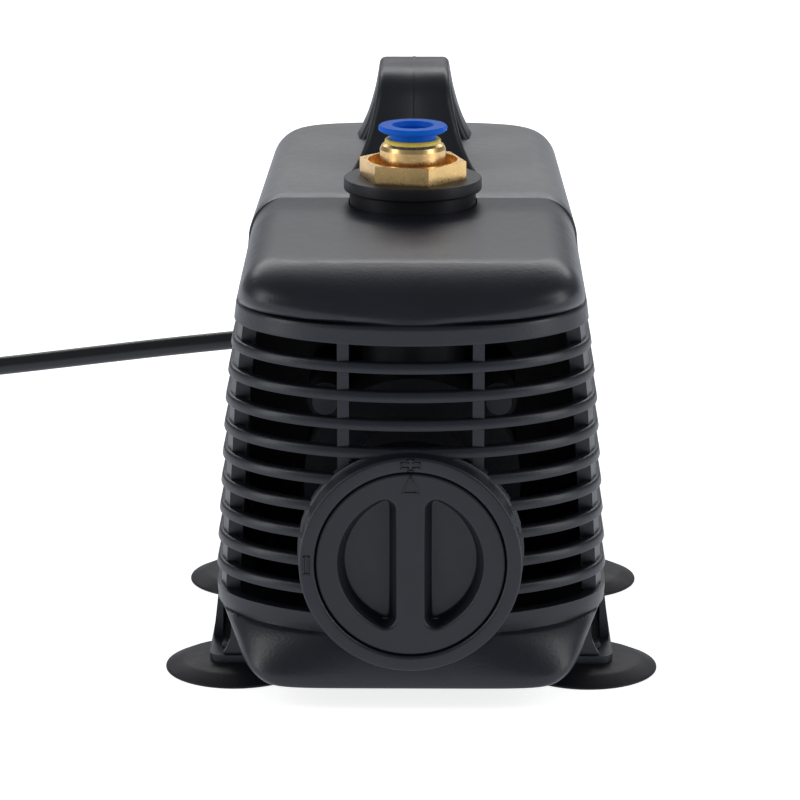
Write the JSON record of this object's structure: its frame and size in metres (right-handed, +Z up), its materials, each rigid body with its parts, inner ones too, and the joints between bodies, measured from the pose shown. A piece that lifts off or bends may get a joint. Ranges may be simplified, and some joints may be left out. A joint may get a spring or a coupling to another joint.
{
  "type": "submersible water pump",
  "caption": "Black submersible pump with a slotted strainer nose, round flow knob, carry handle, suction feet and a brass push-in hose fitting.",
  "frame": {"origin": "on the floor plane, straight below the outlet axis", "axes": "+Z up along the outlet axis, -Y towards the strainer and its knob, +X to the right when facing the knob"},
  "size_m": [0.2053, 0.1977, 0.1129],
  "materials": {
    "shell_plastic": "fine spark-textured",
    "cage_plastic": "satin",
    "inner_plastic": "satin",
    "knob_plastic": "satin",
    "soft_rubber": "matte",
    "steel": "satin",
    "dark_steel": "blackened",
    "core_steel": "laminated",
    "copper_wire": "enamelled",
    "potting_resin": "cast",
    "white_plastic": "satin",
    "ceramic": "ground",
    "ferrite": "ground",
    "brass": "turned",
    "yellow_plastic": "gloss",
    "blue_plastic": "gloss",
    "cable_rubber": "satin",
    "core_insulation": "satin"
  },
  "bodies": {
    "pump_body": {"rear_shell": "shell_plastic", "carry_handle": "knob_plastic", "handle_screws": "dark_steel", "base_frame": "cage_plastic", "base_screws": "dark_steel", "suction_cup_front_left": "soft_rubber", "suction_cup_front_right": "soft_rubber", "suction_cup_rear_left": "soft_rubber", "suction_cup_rear_right": "soft_rubber", "rest_strip": "soft_rubber", "motor_case": "inner_plastic", "stator_core": "core_steel", "coil_bobbins": "white_plastic", "coil_windings": "copper_wire", "potting_compound": "potting_resin", "rotor_shaft": "ceramic", "front_shaft_bush": "soft_rubber", "rear_shaft_bush": "soft_rubber", "volute_housing": "inner_plastic", "volute_cover": "inner_plastic", "volute_seal": "soft_rubber", "volute_screws": "dark_steel", "fitting_body": "brass", "fitting_trim_ring": "yellow_plastic", "fitting_claw": "steel", "fitting_o_ring": "soft_rubber", "power_cable": "cable_rubber", "cable_gland": "cable_rubber", "gland_nut": "inner_plastic", "cable_cores": "core_insulation"},
    "strainer": {"front_cage": "cage_plastic"},
    "flow_valve": {"flow_knob": "knob_plastic", "valve_stem": "inner_plastic", "knob_clip": "steel", "intake_shutter": "inner_plastic"},
    "rotor": {"rotor_magnet": "ferrite", "rotor_sleeve": "white_plastic", "impeller": "white_plastic"},
    "hose_collar": {"release_collar": "blue_plastic"}
  },
  "joints": [
    {"name": "strainer_slide", "type": "slide", "parent": "pump_body", "child": "strainer", "axis": [0, -1, 0], "range_m": [0, 0.11]},
    {"name": "flow_knob_turn", "type": "hinge", "parent": "strainer", "child": "flow_valve", "pos_m": [0, -0.07, 0.0325], "axis": [0, -1, 0], "range_deg": [0, 90]},
    {"name": "rotor_spin", "type": "hinge", "parent": "pump_body", "child": "rotor", "pos_m": [0, 0.03, 0.0325], "axis": [0, -1, 0], "continuous": true},
    {"name": "collar_press", "type": "slide", "parent": "pump_body", "child": "hose_collar", "axis": [0, 0, -1], "range_m": [0, 0.0015], "stiffness_N_per_m": 200}
  ]
}
